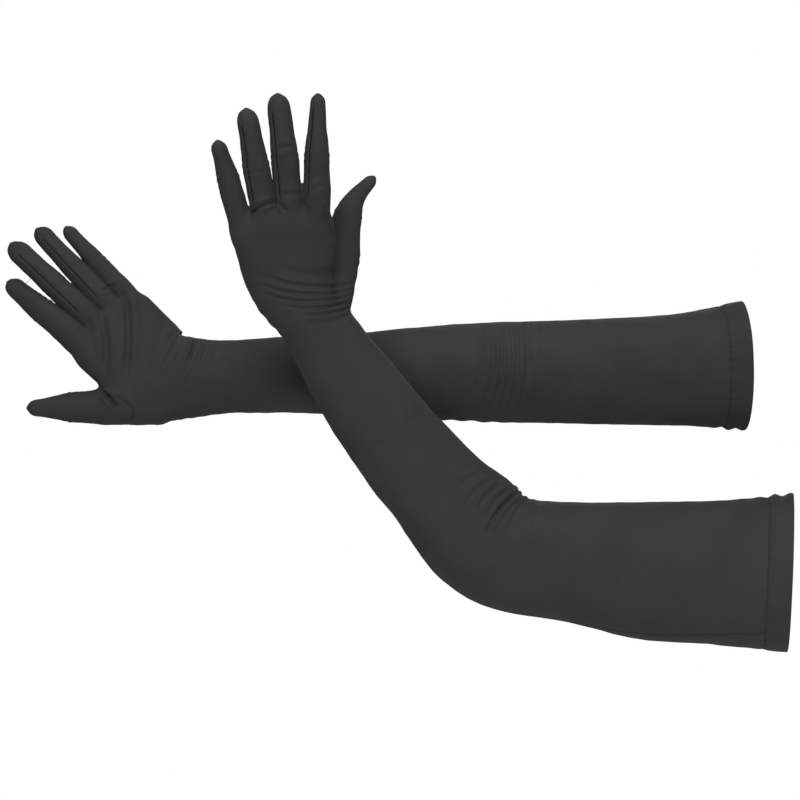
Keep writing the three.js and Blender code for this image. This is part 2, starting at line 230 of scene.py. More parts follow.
def middleLine(glove, s):
    # Straight upper sleeve, forearm and palm, with a curve at the elbow and one at the heel of the hand
    s = np.asarray(s, float)
    up, fore, out = heading(*glove["upper"]), heading(*glove["forearm"]), heading(*glove["hand"])
    hem = np.array(glove["hem"], float)
    elbow = hem + up * arm["elbow"]
    heel = elbow + fore * (arm["heel"] - arm["elbow"])
    bend = heel + axesFor(out, glove["thumbSide"], glove["roll"])[1] * glove["shift"]
    r, h = arm["elbowReach"], arm["heelReach"]
    turnElbow = bezier((s - arm["elbow"] + r) / (2 * r), elbow - up * r, elbow, elbow + fore * r)
    corner = (heel + bend) / 2
    turnHeel = bezier((s - arm["heel"] + h) / (2 * h), heel - fore * h, corner, bend + out * h)
    q = s[:, None]
    zones = [q < arm["elbow"] - r, q < arm["elbow"] + r, q < arm["heel"] - h, q < arm["heel"] + h]
    straightFore = elbow + fore * (q - arm["elbow"])
    places = [hem + up * q, turnElbow[0], straightFore, turnHeel[0]]
    centre = np.select(zones, places, bend + out * (q - arm["heel"]))
    along = np.select(zones, [up + 0 * q, turnElbow[1], fore + 0 * q, turnHeel[1]], out + 0 * q)
    roll = glove["roll"] * ease(s, *arm["rollStarts"])
    palm, thumb = axesFor(along, glove["thumbSide"], roll)
    return centre, along, palm, thumb


def girths(glove, s):
    # Half width on the thumb's side, on the little finger's side, and half depth, at places along the arm
    table = np.array(glove["outline"], float)
    return [smoothThrough(table[:, 0], table[:, i], s) for i in (1, 2, 3)]


def armSurface(glove, s, angle, outset=0.0):
    # An ellipse about the middle line, wider on one side than the other, as a grid of s by angle; the
    # angles are the same at each s, or a row for each
    angle = np.atleast_2d(angle)
    centre, _, palm, thumb = (v[:, None, :] for v in middleLine(glove, s))
    thumbWide, littleWide, deep = (v[:, None] for v in girths(glove, s))
    c, d = np.cos(angle), np.sin(angle)
    across = c * (np.where(c > 0, thumbWide, littleWide) + outset)
    return centre + thumb * across[..., None] + palm * (d * (deep + outset))[..., None]


def unevenness(p, wavelength, seed, stretch=(1, 1, 1)):
    # A sum of sine waves in random directions: a soft, seeded unevenness of about one unit
    rng = np.random.default_rng(seed)
    total = np.zeros(p.shape[:-1])
    for _ in range(9):
        way = unit(rng.normal(size=3)) * np.array(stretch)
        total += np.sin(p @ way * (2 * math.pi / (wavelength * rng.uniform(0.7, 1.5))) + rng.uniform(0, 6.3))
    return total / 3


# Creases in the cloth, seen from the back of the hand: each runs from one X, Z to another, with its
# width, how deep it is, and how much it bows. deeper multiplies every depth.
creases = {
    "deeper": 1.4,
    "left": [
        # wrist, gathered at the thumb's side
        (-318, 56, -378, 60, 1.5, 0.9, 4),
        (-317, 52, -381, 54, 1.4, 0.9, 5),
        (-317, 48, -376, 47, 1.5, 1.0, 5),
        (-316, 44, -366, 40, 1.5, 1.1, 4),
        (-316, 40, -352, 33, 1.4, 1.1, 3),
        (-315, 35, -350, 26, 2.2, 0.8, 3),
        (-322, 64, -372, 69, 2.8, 0.4, 4),
        # inside of the elbow
        (-192, -101, -215, -129, 1.5, 1.4, -3),
        (-183, -104, -200, -128, 1.5, 0.5, -2),
        (-198, -98, -214, -117, 1.4, 0.6, -3),
        (-204, -94, -222, -113, 1.4, 0.6, -3),
        (-211, -90, -232, -110, 1.5, 0.5, -3),
        (-174, -106, -184, -126, 1.8, 0.4, -2),
        (-219, -85, -240, -102, 1.8, 0.4, -3),
        # finger bases and middle joints
        (-388, 105.5, -369, 113.5, 1.5, 1.3, 1.0),
        (-367, 112, -362, 106, 1.4, 1.0, 0.6),
        (-385, 133, -377, 131, 1.6, 0.45, 0.8),
        (-366, 147, -355, 149, 1.7, 0.5, 0.8),
        (-364, 116, -350, 118, 1.8, 0.6, 1),
        (-345, 118, -335, 124, 1.6, 0.6, 1),
    ],
    "right": [
        # wrist, slanting
        (-456, 24, -476, -18, 2.2, 1.0, 3),
        (-451, 22, -470, -20, 2.0, 1.0, 3),
        (-445, 21, -464, -22, 2.1, 1.1, 3),
        (-438, 20, -456, -22, 2.2, 1.0, 3),
        (-430, 19, -446, -20, 2.4, 0.8, 2),
        (-446, 25, -450, 2, 1.1, 1.5, 1),
        (-463, 28, -484, -12, 2.8, 0.7, 4),
        # back of the hand
        (-522, 40, -517, -8, 3.0, 1.9, 3),
        (-503, 54, -501, -12, 2.6, 2.1, 3),
        (-492, 56, -487, 10, 3.6, 0.6, 3),
        (-532, 22, -524, 2, 2.6, 0.6, 2),
        # finger webs and the thumb's root
        (-521, 59, -509, 63, 1.5, 1.0, 1),
        (-519, -24, -508, -36, 1.8, 2.4, 1),
        # elbow, across the sleeve
        (-217, 36, -222, -30, 2.2, 0.5, 5),
        (-209, 37, -213, -34, 1.8, 0.6, 6),
        (-203, 37, -206, -36, 1.6, 0.8, 6),
        (-196, 38, -200, -38, 1.7, 0.8, 5),
        (-188, 38, -192, -36, 1.6, 0.7, 4),
        (-181, 38, -184, -40, 2.0, 0.9, 4),
        (-172, 38, -172, -30, 2.4, 0.6, -4),
        (-163, 38, -160, -16, 2.6, 0.4, -4),
    ],
}


def creaseDepth(p, facing, entries):
    # Each crease is a valley with a low ridge on either side, fading towards its ends
    total = np.zeros(p.shape[:-1])
    for x0, z0, x1, z1, width, depth, bow in entries:
        length = math.hypot(x1 - x0, z1 - z0)
        wayX, wayZ = (x1 - x0) / length, (z1 - z0) / length
        along = ((p[..., 0] - x0) * wayX + (p[..., 2] - z0) * wayZ) / length
        off = (p[..., 2] - z0) * wayX - (p[..., 0] - x0) * wayZ - bow * 4 * along * (1 - along)
        ridges = bump(off - 1.9 * width, 1.2 * width) + bump(off + 1.9 * width, 1.2 * width)
        reach = ease(along, -0.12, 0.15) * (1 - ease(along, 0.7, 1.12))
        total += depth * reach * (0.5 * ridges - bump(off, width))
    return creases["deeper"] * total * facing


# Folds that ring the arm behind the elbow and wrist, and how uneven the cloth is: a height and a wavelength
relieved = {
    "wristFolds": {"at": 462, "reach": 20, "pitch": 9, "height": 0.3},
    "elbowFolds": {"at": 226, "reach": 30, "pitch": 17, "height": 0.6},
    "broad": (0.28, 42),
    "fine": (0.12, 14),
}


def clothRelief(side, p, normal, s, angle):
    # Everything that lifts or sinks the cloth: creases, folds that ring the elbow and wrist, unevenness
    facing = ease(-normal[..., 1], 0.05, 0.5)
    relief = creaseDepth(p, facing, creases[side])
    behind = 1 - facing
    fold = relieved["wristFolds"]
    wave = np.sin((s - arm["wrist"]) * 2 * math.pi / fold["pitch"] + 0.8 * np.sin(angle * 2))
    relief += fold["height"] * wave * bump(s - fold["at"], fold["reach"]) * behind
    fold = relieved["elbowFolds"]
    wave = np.sin((s - arm["elbow"]) * 2 * math.pi / fold["pitch"] + 1.1 * np.sin(angle))
    inside = ease(np.cos(angle), -0.6, 0.8)
    relief += fold["height"] * wave * bump(s - fold["at"], fold["reach"]) * behind * inside
    (broad, wide), (fine, narrow) = relieved["broad"], relieved["fine"]
    relief += broad * unevenness(p, wide, 4) + fine * unevenness(p, narrow, 7)
    return relief


def newMesh(name, points, faces, uv=None):
    mesh = bpy.data.meshes.new(name)
    mesh.vertices.add(len(points))
    mesh.vertices.foreach_set("co", (np.asarray(points, np.float32) / 1000).ravel())
    mesh.loops.add(faces.size)
    mesh.loops.foreach_set("vertex_index", faces.astype(np.int32).ravel())
    mesh.polygons.add(len(faces))
    mesh.polygons.foreach_set("loop_start", np.arange(0, faces.size, faces.shape[1], dtype=np.int32))
    mesh.polygons.foreach_set("use_smooth", np.ones(len(faces), bool))
    mesh.update(calc_edges=True)
    mesh.validate()
    if uv is not None:
        layer = mesh.uv_layers.new(name="weave")
        layer.data.foreach_set("uv", uv.astype(np.float32).ravel())
    piece = bpy.data.objects.new(name, mesh)
    bpy.context.scene.collection.objects.link(piece)
    return piece


def gridFaces(rows, columns, loopRows, loopColumns):
    # Quads over a grid, wrapping round where a direction is looped
    i = np.arange(rows if loopRows else rows - 1)
    j = np.arange(columns if loopColumns else columns - 1)
    i, j = (v.ravel() for v in np.meshgrid(i, j, indexing="ij"))
    corners = [(i, j), (i, j + 1), (i + 1, j + 1), (i + 1, j)]
    faces = np.stack([(a % rows) * columns + b % columns for a, b in corners], 1)
    return faces, np.stack([np.stack([b, a], 1) for a, b in corners], 1).astype(float)


def gridPiece(name, grid, loopRows=False, loopColumns=False, weaveScale=(1, 1)):
    rows, columns = grid.shape[:2]
    points = grid.reshape(-1, 3)
    faces, uv = gridFaces(rows, columns, loopRows, loopColumns)
    a, b, c = (points[faces[:, k]] for k in (0, 1, 2))
    volume = dot(a - points.mean(0), np.cross(b - a, c - a)).sum()
    if volume < 0:
        faces, uv = faces[:, ::-1], uv[:, ::-1]
    return newMesh(name, points, faces, uv * np.array(weaveScale))


def gridNormals(grid):
    # Across both directions of a grid whose columns wrap round
    down = np.gradient(grid, axis=0)
    wrapped = np.concatenate([grid[:, -1:], grid, grid[:, :1]], 1)
    return unit(np.cross(wrapped[:, 2:] - wrapped[:, :-2], down))


# The sleeve from the hem's stitching to the middle of the forearm, with its inner side
sleeve = {"around": 210, "step": 1.15, "innerStep": 6.0, "wales": 260, "course": 0.9}


def outwards(glove, grid, s, normals):
    centre = middleLine(glove, s)[0][:, None, :]
    return normals * np.sign(dot(normals, grid - centre))[..., None]


def dressedArm(side, s, angle, outset=0.0):
    # The arm's surface with the cloth's relief on it
    glove = gloves[side]
    grid = armSurface(glove, s, angle, outset)
    normals = outwards(glove, grid, s, gridNormals(grid))
    relief = clothRelief(side, grid, normals, s[:, None] + 0 * angle, angle + 0 * s[:, None])
    return grid, normals, relief


def seamLine(side, s):
    # Where the side seam runs: its angle round the middle line at places along the arm
    table = np.array(gloves[side]["seamTurn"], float)
    return np.radians(np.interp(s, table[:, 0], table[:, 1]))


def seamGroove(side, s, angle):
    # The side seam sinks into the cloth and lifts a low ridge beside itself
    apart = np.angle(np.exp(1j * (angle - seamLine(side, s))))
    return -(0.6 * bump(apart, 0.035) - 0.25 * bump(np.abs(apart) - 0.09, 0.05))


def hemPucker(s, angle):
    # Small puckers that the stitching draws into the cloth, strongest at the stitch line
    wave = np.sin(angle * 46 + 2.2 * np.sin(angle * 7)) * 0.6 + np.sin(angle * 29 + 1) * 0.4
    gather = 1.1 * np.cos(s * 2 * math.pi / 12 - 1) * bump(np.sin(angle / 2), 0.22) * bump(s - 9, 16)
    return gather + 0.4 * wave * bump(s - arm["hemDepth"], 7) - 0.6 * bump(s - arm["hemDepth"], 1.8)


def sleevePoints(side, s, angle, outset):
    grid, normals, relief = dressedArm(side, s, angle, outset)
    relief = relief * ease(s, 14, 40)[:, None] + hemPucker(s[:, None], angle)
    relief = relief + seamGroove(side, s[:, None], angle)
    return grid + normals * relief[..., None]


def makeSleeve(side):
    angle = np.linspace(0, 2 * math.pi, sleeve["around"], endpoint=False) + seamLine(side, arm["elbow"])
    rows = int((arm["sleeveEnd"] - arm["hemDepth"]) / sleeve["step"])
    outerS = np.linspace(arm["hemDepth"], arm["sleeveEnd"], rows)
    innerS = np.linspace(arm["sleeveEnd"], arm["hemDepth"], int(rows * sleeve["step"] / sleeve["innerStep"]))
    outer = sleevePoints(side, outerS, angle, 0)
    inner = sleevePoints(side, innerS, angle, -arm["cloth"])
    scale = (sleeve["wales"] / sleeve["around"], sleeve["step"] / sleeve["course"])
    piece = gridPiece(f"{side}_sleeve", np.concatenate([outer, inner]), True, True, scale)
    walls = ((outer, outerS), (inner, innerS))
    facing = [outwards(gloves[side], grid, s, gridNormals(grid)) for grid, s in walls]
    normals = np.concatenate([facing[0], -facing[1]]).reshape(-1, 3)
    piece.data.normals_split_custom_set_from_vertices(normals)
    return piece


# The hem: the sleeve's end folded inwards
hem = {"around": 240, "roll": 1.1, "innerDepth": 17}


def hemProfile():
    # From the stitching out to the folded edge, round it, and back inside, as places and outsets
    outside = np.linspace(arm["hemDepth"], hem["roll"], 12)
    turn = np.linspace(math.pi / 2, 3 * math.pi / 2, 9)[1:-1]
    inside = np.linspace(hem["roll"], hem["innerDepth"], 10)
    s = np.concatenate([outside, hem["roll"] + hem["roll"] * np.cos(turn), inside])
    fold = 0.9 * hem["roll"] * np.sin(turn) - arm["cloth"]
    outset = np.concatenate([0 * outside, fold, 0 * inside - 2 * arm["cloth"]])
    return s, outset


def makeHem(side):
    glove = gloves[side]
    angle = np.linspace(0, 2 * math.pi, hem["around"], endpoint=False)
    s, outset = hemProfile()
    grid = armSurface(glove, s, angle, outset[:, None])
    centre = middleLine(glove, s)[0][:, None, :]
    puff = 0.35 * np.sin(math.pi * np.clip(s / arm["hemDepth"], 0, 1))[:, None] * (outset > -1)[:, None]
    relief = hemPucker(s[:, None], angle[None, :]) + puff
    relief = relief + 0.3 * unevenness(grid, 30, 11) * (1 - ease(s, 12, 18))[:, None]
    grid = grid + unit(grid - centre) * relief[..., None]
    scale = (sleeve["wales"] / hem["around"], 1.6)
    return gridPiece(f"{side}_hem", grid, True, True, scale)


def tubeAlong(path, up, radius, sides=6):
    # A round profile carried along a path; radius is one number or one for each point
    way = unit(np.gradient(path, axis=0))
    side = unit(np.cross(way, up))
    top = np.cross(side, way)
    angle = np.linspace(0, 2 * math.pi, sides, endpoint=False)
    radius = np.broadcast_to(radius, len(path))[:, None, None]
    ring = side[:, None] * np.cos(angle)[None, :, None] + top[:, None] * np.sin(angle)[None, :, None]
    return path[:, None] + ring * radius


def capped(grid):
    # Both ends of a tube closed by drawing in a last ring
    first, last = grid[:1].mean(1, keepdims=True), grid[-1:].mean(1, keepdims=True)
    return np.concatenate([first + 0 * grid[:1], grid, last + 0 * grid[-1:]])


# Round the hem, up the little finger's side, round the thumb and along the fingers
stitching = {"radius": 0.34, "pitch": 2.4}


def stitchGrid(path, up):
    # Thread that swells and thins once a stitch, so that it reads as a row of stitches
    run = np.concatenate([[0], np.cumsum(np.linalg.norm(np.diff(path, axis=0), axis=1))])
    swell = np.abs(np.sin(run * math.pi / stitching["pitch"])) ** 0.6
    radius = stitching["radius"]
    sunk = path - up * (0.5 * radius) * (1.4 - swell)[:, None]
    return capped(tubeAlong(sunk, up, radius * (0.45 + 0.55 * swell)))


def stitchChain(name, path, up):
    return gridPiece(name, stitchGrid(path, up), False, True)


def makeHemStitches(side):
    angle = np.linspace(0, 2 * math.pi, 1400)
    s = np.full(1, arm["hemDepth"] - 0.4)
    ring = armSurface(gloves[side], s, angle, 0)[0]
    up = unit(ring - middleLine(gloves[side], s)[0])
    path = ring + up * (hemPucker(s[:, None], angle[None, :])[0][:, None] + 0.25)
    return stitchChain(f"{side}_hem_stitches", path, up)


def makeSideSeam(side):
    s = np.arange(arm["hemDepth"] + 1, arm["sleeveEnd"], 0.5)
    path = sleevePoints(side, s, seamLine(side, s)[:, None] + np.array([-0.02, 0, 0.02]), 0)[:, 1]
    up = unit(path - middleLine(gloves[side], s)[0])
    return stitchChain(f"{side}_side_seam", path + up * 0.2, up)


# The hand: tubes for the wrist and palm and for each digit, run together into one smooth skin
def tubeOf(centre, along, palm, thumb, thumbWide, littleWide, deep, startDome, endDome, power):
    step = np.linalg.norm(np.diff(centre, axis=0), axis=1).mean()
    return {
        "centre": centre,
        "along": along,
        "palm": palm,
        "thumb": thumb,
        "sizes": np.stack([thumbWide, littleWide, deep, power], 1),
        "domes": (startDome, endDome),
        "step": step,
    }


def palmTube(side):
    glove = gloves[side]
    s = np.arange(arm["sleeveEnd"] - hand["palmOverlap"], arm["front"] - hand["palmDome"], 2.0)
    thumbWide, littleWide, deep = girths(glove, s)
    power = 2 + hand["squareness"] * ease(s, arm["heel"], arm["front"])
    return tubeOf(*middleLine(glove, s), thumbWide, littleWide, deep, 10, hand["palmDome"] + 6, power)


def digitAxes(side, name, curl):
    # Fanned in the plane of the palm by spread, then bent to the palm by curl
    glove, digit = gloves[side], digits[side][name]
    out = heading(*glove["hand"])
    palm, thumb = axesFor(out, glove["thumbSide"], glove["roll"])
    fanned = swung(out, thumb, digit["spread"])
    along, bentPalm = swung(fanned, palm, curl), swung(palm, fanned, -curl)
    return along, bentPalm, np.cross(bentPalm, along) * glove["thumbSide"]


def hingeOf(side, name):
    return np.array(jointAt[f"{side}_{name}_base"]["pos_m"]) * 1000


def middleJoint(side, name):
    # How far past the hinge the digit's middle joint lies
    return digits[side][name]["length"] * hand["thumbJoint" if name == "thumb" else "fingerJoint"]


def digitTube(side, name):
    # Straight root, straight free part, and a short curve between them at the hinge
    digit = digits[side][name]
    isThumb = name == "thumb"
    root = digit.get("root", hand["fingerRoot"])
    startAxes = digitAxes(side, name, digit.get("rootCurl", digit["curl"]) if isThumb else 0)
    endAxes = digitAxes(side, name, digit["curl"])
    dome = digit["radii"][1] * hand["tipStretch"]
    t = np.arange(-root, digit["length"] - dome + 0.01, 1.5)
    share = ease(t, -8, 8)[:, None]
    axes = [unit(a * (1 - share) + b * share) for a, b in zip(startAxes, endAxes)]
    sweep = (digit.get("sweep", 0) * ease(t, 12, digit["length"]))[:, None]
    axes = [swung(axes[0], axes[2], sweep), axes[1], swung(axes[2], axes[0], -sweep)]
    path = np.concatenate([[np.zeros(3)], np.cumsum(axes[0][1:] * np.diff(t)[:, None], axis=0)])
    path = path - path[np.argmin(np.abs(t))] + hingeOf(side, name) + startAxes[2] * digit.get("shift", 0)
    base, tip = digit["radii"]
    radius = base + (tip - base) * np.clip(t, 0, None) / (digit["length"] - dome)
    middle = middleJoint(side, name)
    radius += (1.2 if isThumb else 0.3) * bump(t - middle, 9)
    radius -= 0.25 * bump(t - middle - 20, 10) + 0.15 * bump(t - 8, 8)
    if isThumb:
        radius += (digit["rootRadius"] - base) * (1 - ease(t, -root, 2))
    deep = radius * hand["depthRatio"]
    power = np.full(len(t), 2.0)
    tube = tubeOf(path, *axes, radius, radius, deep, radius[0], dome, power)
    tube["t"] = t
    return tube


def tubeCoords(tube, p):
    # Nearest station to each point, then a share of the way to the next one
    centre = tube["centre"]
    apart = (centre**2).sum(1)[None, :] - 2 * p @ centre.T
    i = apart.argmin(1)
    reach = dot(p - centre[i], tube["along"][i]) / tube["step"]
    place = np.clip(i + reach, 0, len(centre) - 1)
    low = np.minimum(place.astype(int), len(centre) - 2)
    share = (place - low)[:, None]
    mix = lambda v: v[low] * (1 - share) + v[low + 1] * share
    offset = p - mix(centre)
    return place, offset, mix(tube["along"]), mix(tube["palm"]), mix(tube["thumb"]), mix(tube["sizes"])


def tubeField(tube, p):
    # How far outside the tube a point is, measured from its middle line. A domed end is half an ellipsoid.
    place, offset, along, palm, thumb, sizes = tubeCoords(tube, p)
    x, y, z = dot(offset, thumb), dot(offset, palm), dot(offset, along)
    wide = np.where(x > 0, sizes[:, 0], sizes[:, 1])
    power = sizes[:, 3]
    flat = (np.abs(x / wide) ** power + np.abs(y / sizes[:, 2]) ** power) ** (1 / power)
    dome = np.where(z > 0, tube["domes"][1], tube["domes"][0])
    atEnd = (place <= 0) | (place >= len(tube["centre"]) - 1)
    reach = np.where(atEnd, z / dome, 0)
    whole = np.sqrt(flat**2 + reach**2) + 1e-9
    distance = np.sqrt(x * x + y * y + np.where(atEnd, z * z, 0))
    return distance * (1 - 1 / whole)


def meld(a, b, k):
    # The lower of two fields, rounded over k where they meet
    h = np.clip(0.5 + 0.5 * (b - a) / k, 0, 1)
    return b * (1 - h) + a * h - k * h * (1 - h)


def handField(tubes, p):
    fingers = np.min([tubeField(tubes[n], p) for n in ("index", "middle", "ring", "little")], axis=0)
    whole = meld(tubeField(tubes["palm"], p), fingers, hand["webBlend"])
    start = tubes["thumb"]["centre"][0]
    toRoot = (start - p) @ tubes["thumb"]["along"][0] - tubes["thumb"]["t"][0]
    onBack = -(p - tubes["palm"]["centre"][-1]) @ tubes["palm"]["palm"][-1]
    sharp, soft = hand["thumbBlend"]
    reach = ease(toRoot, -12, 8) * (1 - ease(toRoot, 20, 32)) * ease(onBack, -5, 8)
    blend = sharp + (soft - sharp) * reach
    return meld(whole, tubeField(tubes["thumb"], p), blend)


def fieldSlope(tubes, p):
    # Slope from four points round each point, at the corners of a small tetrahedron
    reach = 0.15
    corners = np.array([(1, 1, 1), (1, -1, -1), (-1, 1, -1), (-1, -1, 1)]) * reach
    values = [handField(tubes, p + c) for c in corners]
    return sum(v[:, None] * c for v, c in zip(values, corners)) / (4 * reach**2)


def ontoSkin(tubes, p, steps):
    # Each point moves down the field's slope to where the field is zero, at most 3 mm at a step
    for _ in range(steps):
        slope = fieldSlope(tubes, p)
        move = handField(tubes, p) / np.maximum(dot(slope, slope), 0.2)
        p = p - slope * np.clip(move, -3, 3)[:, None]
    return p


def roughTube(tube, sides=20):
    # The tube as a closed grid, domed at both ends
    angle = np.linspace(0, 2 * math.pi, sides, endpoint=False)
    rings, sizes = [], tube["sizes"] - hand["slimmer"]
    lifts = np.radians([20, 40, 60, 80])
    for end, way, dome in zip((0, -1), (-1, 1), tube["domes"]):
        rings.append([(end, math.cos(lift), way * dome * math.sin(lift)) for lift in lifts])
    order = rings[0][::-1] + [(i, 1, 0) for i in range(len(tube["centre"]))] + rings[1]
    grid = []
    for i, shrink, slide in order:
        c, d = np.cos(angle)[:, None], np.sin(angle)[:, None]
        wide = np.where(c > 0, sizes[i, 0], sizes[i, 1]) * shrink
        ring = tube["centre"][i] + tube["along"][i] * slide
        grid.append(ring + tube["thumb"][i] * c * wide + tube["palm"][i] * d * sizes[i, 2] * shrink)
    return capped(np.array(grid))


def roughHand(side, tubes):
    # All tubes in one mesh, remeshed into one closed skin of even quads
    points, faces, count = [], [], 0
    for tube in tubes.values():
        grid = roughTube(tube)
        quads, _ = gridFaces(*grid.shape[:2], False, True)
        flat = grid.reshape(-1, 3)
        a, b, c = (flat[quads[:, k]] for k in (0, 1, 2))
        if dot(a - flat.mean(0), np.cross(b - a, c - a)).sum() < 0:
            quads = quads[:, ::-1]
        points.append(flat)
        faces.append(quads + count)
        count += len(flat)
    rough = newMesh(f"{side}_rough", np.concatenate(points), np.concatenate(faces))
    remesh = rough.modifiers.new("skin", "REMESH")
    remesh.mode = "VOXEL"
    remesh.voxel_size = hand["voxel"] / 1000
    skin = rough.evaluated_get(bpy.context.evaluated_depsgraph_get()).to_mesh()
    co = np.zeros(len(skin.vertices) * 3, np.float32)
    skin.vertices.foreach_get("co", co)
    sizes = np.zeros(len(skin.polygons), np.int32)
    skin.polygons.foreach_get("loop_total", sizes)
    corners = np.zeros(len(skin.loops), np.int32)
    skin.loops.foreach_get("vertex_index", corners)
    if not (sizes == 4).all():
        raise RuntimeError("the remeshed hand has faces that aren't quads")
    bpy.data.objects.remove(rough)
    return co.reshape(-1, 3).astype(float) * 1000, corners.reshape(-1, 4)


def evened(points, faces, steps):
    # Each point drawn halfway to the average of the face centres round it
    for _ in range(steps):
        centres = points[faces].mean(1)
        total, count = np.zeros_like(points), np.zeros(len(points))
        for k in range(4):
            np.add.at(total, faces[:, k], centres)
            np.add.at(count, faces[:, k], 1)
        points = points + 0.5 * (total / count[:, None] - points)
    return points


def pointNormals(points, faces):
    a, b, c, d = (points[faces[:, k]] for k in range(4))
    faceNormals = np.cross(c - a, d - b)
    total = np.zeros_like(points)
    for k in range(4):
        np.add.at(total, faces[:, k], faceNormals)
    return unit(total)


def trimmed(points, faces, keep):
    # Only the faces marked, with the points they use
    faces = faces[keep]
    used, faces = np.unique(faces, return_inverse=True)
    return points[used], faces.reshape(-1, 4), used


def ringsFrom(first, faces, count):
    # How many faces away from the first points each point is, up to a count
    ring = np.where(first, 0, count + 1)
    for k in range(1, count + 1):
        near = np.unique(faces[(ring[faces] < k).any(1)])
        ring[near] = np.minimum(ring[near], k)
    return ring


def digitShare(tubes, p):
    # For each point, which digit it lies on, or none where it belongs to the palm
    names = list(digits["left"])
    depth = np.stack([tubeField(tubes[n], p) for n in names])
    owner = depth.argmin(0)
    hinges = [tubes[n]["centre"][np.argmin(np.abs(tubes[n]["t"]))] for n in names]
    ways = [tubes[n]["along"][np.argmin(np.abs(tubes[n]["t"] + 8))] for n in names]
    past = np.stack([(p - h) @ w for h, w in zip(hinges, ways)])
    past = np.take_along_axis(past, owner[None], 0)[0]
    return np.where(past > hand["digitStart"], owner, -1)


def weaveOf(side, tubes, p, name):
    # Wales run along the hand and each digit: places across and along in millimetres
    if name is None:
        out = heading(*gloves[side]["hand"])
        across = axesFor(out, gloves[side]["thumbSide"], gloves[side]["roll"])[1]
        origin = hingeOf(side, "middle")
    else:
        middle = np.argmin(np.abs(tubes[name]["t"] - 20))
        out, across = tubes[name]["along"][middle], tubes[name]["thumb"][middle]
        origin = tubes[name]["centre"][middle]
    return np.stack([(p - origin) @ across, (p - origin) @ out / 0.9], 1)


def digitRelief(side, tubes, p):
    # Seams sunk along the fingers, cloth drawn in at each tip, faint creases at the middle joints
    relief = np.zeros(len(p))
    for name in digits[side]:
        tube = tubes[name]
        place, offset, along, palm, thumb, sizes = tubeCoords(tube, p)
        x, y, z = dot(offset, thumb), dot(offset, palm), dot(offset, along)
        t = tube["t"][0] + place * tube["step"] + np.where(place >= len(tube["t"]) - 1, z, 0)
        near = bump(tubeField(tube, p), 2.0)
        turnOf = np.degrees(np.arctan2(y, x))
        end = digits[side][name]["length"]
        for seam in digits[side][name].get("seams", ()):
            away = np.abs((turnOf - seam + 180) % 360 - 180) / 180 * math.pi * sizes[:, 0]
            run = ease(t, -6, 4) * (1 - ease(t, end - 6, end - 1))
            relief -= near * run * (0.45 * bump(away, 0.9) - 0.18 * bump(away - 2.2, 1.1))
        rho = np.hypot(x, y)
        relief += near * 0.3 * np.cos(np.radians(turnOf) * 6) * bump(t - end + 2, 3) * ease(rho, 0.5, 3)
        relief += near * 1.1 * bump(t - end, 2.5) * bump(rho, 1.9)
        middle = middleJoint(side, name)
        ripple = np.cos((t - middle) * 2 * math.pi / 5.5) * bump(t - middle, 6)
        relief += near * 0.22 * ripple * (0.6 + 0.4 * np.sin(np.radians(turnOf) * 2 + 1))
    return relief


def armPlace(side, tubes, p):
    # How far along the arm each point is, and its angle round the middle line
    place, offset, _, palm, thumb, _ = tubeCoords(tubes["palm"], p)
    s = arm["sleeveEnd"] - hand["palmOverlap"] + place * tubes["palm"]["step"]
    return s, np.arctan2(dot(offset, palm), dot(offset, thumb))


# The curved seam that sets the thumb into the palm, as places along and across the hand from the
# middle finger's hinge
thumbSeam = {
    "left": [(-12, 33), (-27, 35.5), (-37, 41), (-51, 44.5), (-67, 45)],
    "right": [(-59, 40.5), (-68, 36), (-78, 32.6), (-89, 32.7), (-97, 38.6), (-99, 43)],
}


def seamOnBack(side, tubes, corners, steps=160):
    # A smooth line through the corners, laid onto the back of the hand
    corners = np.array(corners, float)
    run = np.linspace(0, len(corners) - 1, steps)
    flat = np.stack([smoothThrough(np.arange(len(corners)), corners[:, k], run) for k in (0, 1)], 1)
    glove = gloves[side]
    out = heading(*glove["hand"])
    palm, thumb = axesFor(out, glove["thumbSide"], glove["roll"])
    start = hingeOf(side, "middle") + out * flat[:, :1] + thumb * flat[:, 1:] - palm * hand["backLift"]
    return ontoSkin(tubes, start, 12)


def nearest(p, line):
    # Distance from each point to the nearest point of a line
    square = (p**2).sum(1)[:, None] + (line**2).sum(1)[None, :] - 2 * p @ line.T
    return np.sqrt(np.maximum(square.min(1), 0))


def fingerThreads(side, tubes, name):
    # One thread along each seam of the finger, from its base to short of its tip
    tube, digit = tubes[name], digits[side][name]
    t = np.arange(-4, tube["t"][-1], 0.45)
    place = (t - tube["t"][0]) / tube["step"]
    low = np.clip(place.astype(int), 0, len(tube["t"]) - 2)
    share = np.clip(place - low, 0, 1)[:, None]
    axes = ("centre", "palm", "thumb")
    centre, palm, thumb = (tube[k][low] * (1 - share) + tube[k][low + 1] * share for k in axes)
    threads = []
    for seam in digit.get("seams", ()):
        out = swung(thumb, palm, seam)
        path, up = liftedLine(side, tubes, ontoSkin(tubes, centre + out * digit["radii"][0], 4))
        threads.append(stitchGrid(path, up))
    return threads


def handSkin(side, tubes):
    # The rough skin drawn onto the field, evened, and cut off where the sleeve piece takes over
    points, faces = roughHand(side, tubes)
    points = ontoSkin(tubes, points, 3)
    points = evened(points, faces, 3)
    points = ontoSkin(tubes, points, 3)
    s = armPlace(side, tubes, points)[0]
    kept = s[faces].max(1) > arm["sleeveEnd"]
    short = np.clip(arm["sleeveEnd"] - s, 0, None)  # the cut end is drawn up square to the sleeve's
    points = points + heading(*gloves[side]["forearm"]) * short[:, None]
    points, faces, _ = trimmed(points, faces, kept)
    return points, faces, unit(fieldSlope(tubes, points))


